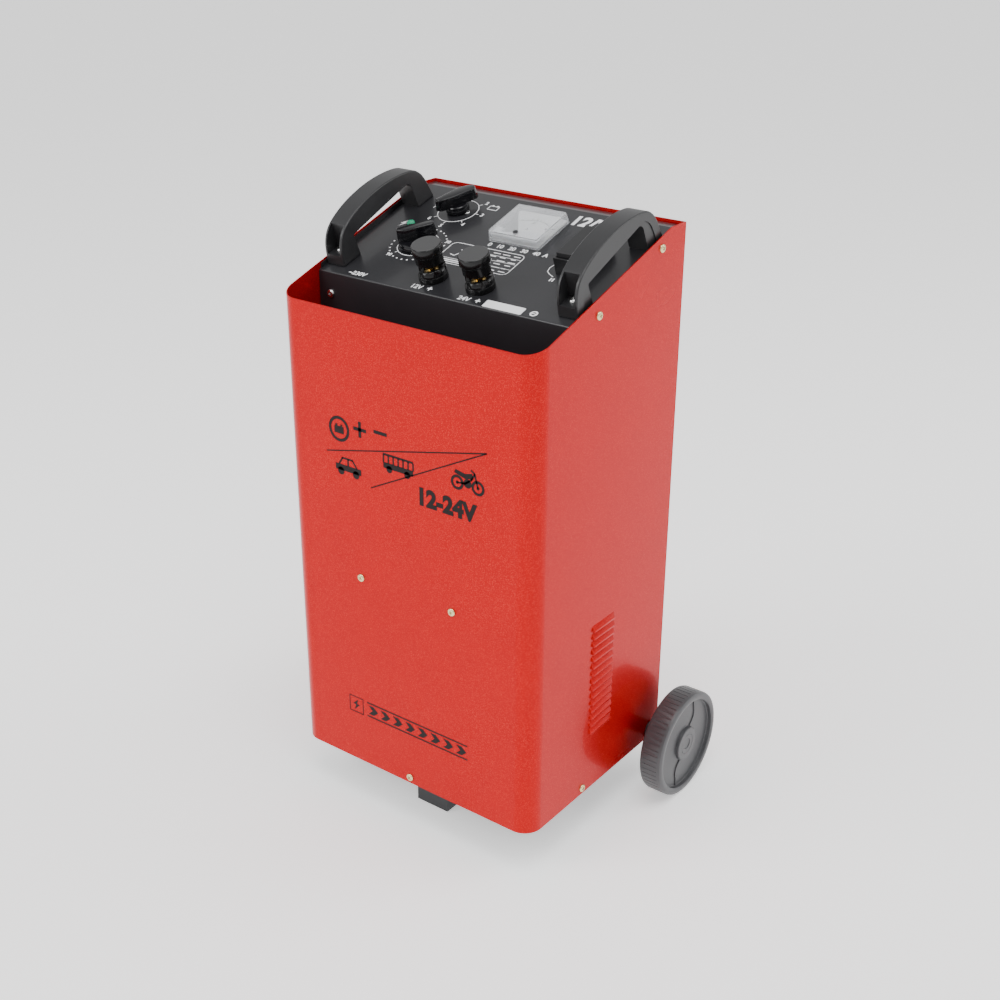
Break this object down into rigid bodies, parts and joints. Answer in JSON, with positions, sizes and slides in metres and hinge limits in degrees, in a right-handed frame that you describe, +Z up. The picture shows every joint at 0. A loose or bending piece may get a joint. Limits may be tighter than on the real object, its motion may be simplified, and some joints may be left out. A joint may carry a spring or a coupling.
{
  "type": "car battery charger",
  "caption": "Upright wheeled car battery charger and engine starter: red sheet-metal case with a front cable bay, sloping control panel, carrying handles, wheels at the rear and a front foot.",
  "frame": {"origin": "on the ground, in the middle of the overall box", "axes": "+Z up; the front face, with the cable bay behind it, faces -Y; +X is to the right for someone who looks at the front"},
  "size_m": [0.436, 0.3089, 0.6937],
  "materials": {
    "red_paint": "gloss enamel",
    "black_paint": "semi-gloss enamel",
    "zinc_yellow": "yellow zinc",
    "nickel": "bright",
    "steel": "plain",
    "handle_plastic": "fine grain",
    "wheel_plastic": "satin",
    "knob_plastic": "gloss",
    "cap_plastic": "satin",
    "bakelite": "moulded",
    "brass": "bright",
    "copper_wire": "enamelled",
    "lamination": "varnished",
    "aluminium": "mill",
    "clear_plastic": "clear",
    "dial_card": "printed",
    "needle_black": "thin",
    "green_lens": "translucent",
    "insulator": "moulded",
    "clear_zinc": "zinc"
  },
  "bodies": {
    "chassis": {"shell_wrap": "red_paint", "rear_panel": "red_paint", "base_tray": "black_paint", "cable_bay_floor": "black_paint", "control_panel": "black_paint", "axle": "steel", "axle_bushes": "handle_plastic", "axle_spacers": "handle_plastic", "axle_caps": "wheel_plastic", "front_foot": "black_paint", "foot_bolts": "clear_zinc", "foot_nuts": "clear_zinc", "case_screws": "zinc_yellow", "bay_screws": "nickel", "handle_left": "handle_plastic", "handle_right": "handle_plastic", "handle_screws": "nickel", "handle_nuts": "clear_zinc", "terminal_bases": "cap_plastic", "terminal_studs": "brass", "terminal_washers": "bakelite", "terminal_nuts": "brass", "step_switch_body": "bakelite", "timer_body": "steel", "switch_screws": "nickel", "pilot_lamp_body": "bakelite", "pilot_lamp_lens": "green_lens", "meter_body": "cap_plastic", "meter_dial": "dial_card", "meter_cover": "clear_plastic", "changeover_housing": "cap_plastic", "transformer_core": "lamination", "primary_winding": "copper_wire", "secondary_winding": "copper_wire", "transformer_clamps": "black_paint", "transformer_bolts": "clear_zinc", "transformer_nuts": "clear_zinc", "clamp_screws": "clear_zinc", "thermal_cutout": "bakelite", "rectifier_standoffs": "insulator", "rectifier_screws": "nickel", "rectifier_plates": "aluminium", "rectifier_diodes": "nickel", "terminal_strip": "insulator", "mains_gland": "handle_plastic", "negative_gland": "handle_plastic", "gland_nuts": "handle_plastic"},
    "wheel_left": {"wheel_left": "wheel_plastic"},
    "wheel_right": {"wheel_right": "wheel_plastic"},
    "step_switch_rotor": {"step_switch_knob": "knob_plastic", "step_switch_shaft": "steel"},
    "timer_rotor": {"timer_knob": "knob_plastic", "timer_shaft": "steel"},
    "meter_movement": {"meter_needle": "needle_black"},
    "zero_adjuster": {"meter_zero_screw": "needle_black"},
    "changeover_key": {"changeover_rocker": "cap_plastic"},
    "clamp_12v": {"terminal_clamp_12v": "brass"},
    "cap_12v": {"terminal_cap_12v": "cap_plastic"},
    "clamp_24v": {"terminal_clamp_24v": "brass"},
    "cap_24v": {"terminal_cap_24v": "cap_plastic"}
  },
  "joints": [
    {"name": "wheel_left_spin", "type": "hinge", "parent": "chassis", "child": "wheel_left", "pos_m": [0, 0.09095, 0.0635], "axis": [1, 0, 0], "continuous": true},
    {"name": "wheel_right_spin", "type": "hinge", "parent": "chassis", "child": "wheel_right", "pos_m": [0, 0.09095, 0.0635], "axis": [1, 0, 0], "continuous": true},
    {"name": "step_switch_turn", "type": "hinge", "parent": "chassis", "child": "step_switch_rotor", "pos_m": [-0.087, 0.05162, 0.65314], "axis": [0, -0.3113, 0.9503], "range_deg": [-315, 0]},
    {"name": "timer_turn", "type": "hinge", "parent": "chassis", "child": "timer_rotor", "pos_m": [-0.087, -0.01728, 0.63057], "axis": [0, -0.3113, 0.9503], "range_deg": [-300, 0]},
    {"name": "needle_swing", "type": "hinge", "parent": "chassis", "child": "meter_movement", "pos_m": [0.017, 0.02264, 0.64365], "axis": [0, 0.3113, -0.9503], "range_deg": [0, 90], "stiffness_Nm_per_rad": 0.0002, "springref_deg": -57.3},
    {"name": "zero_screw_turn", "type": "hinge", "parent": "chassis", "child": "zero_adjuster", "pos_m": [0.017, 0.01884, 0.6424], "axis": [0, -0.3113, 0.9503], "range_deg": [-40, 40]},
    {"name": "changeover_tilt", "type": "hinge", "parent": "chassis", "child": "changeover_key", "pos_m": [0.1072, 0.00592, 0.6529], "axis": [1, 0, 0], "range_deg": [-8, 8]},
    {"name": "clamp_12v_slide", "type": "slide", "parent": "chassis", "child": "clamp_12v", "axis": [0, -0.3113, 0.9503], "range_m": [-0.0042, 0.003]},
    {"name": "cap_12v_turn", "type": "hinge", "parent": "clamp_12v", "child": "cap_12v", "pos_m": [-0.028, -0.06337, 0.61547], "axis": [0, -0.3113, 0.9503], "range_deg": [-1209, 863]},
    {"name": "clamp_24v_slide", "type": "slide", "parent": "chassis", "child": "clamp_24v", "axis": [0, -0.3113, 0.9503], "range_m": [-0.0042, 0.003]},
    {"name": "cap_24v_turn", "type": "hinge", "parent": "clamp_24v", "child": "cap_24v", "pos_m": [0.0325, -0.06337, 0.61547], "axis": [0, -0.3113, 0.9503], "range_deg": [-1209, 863]}
  ]
}
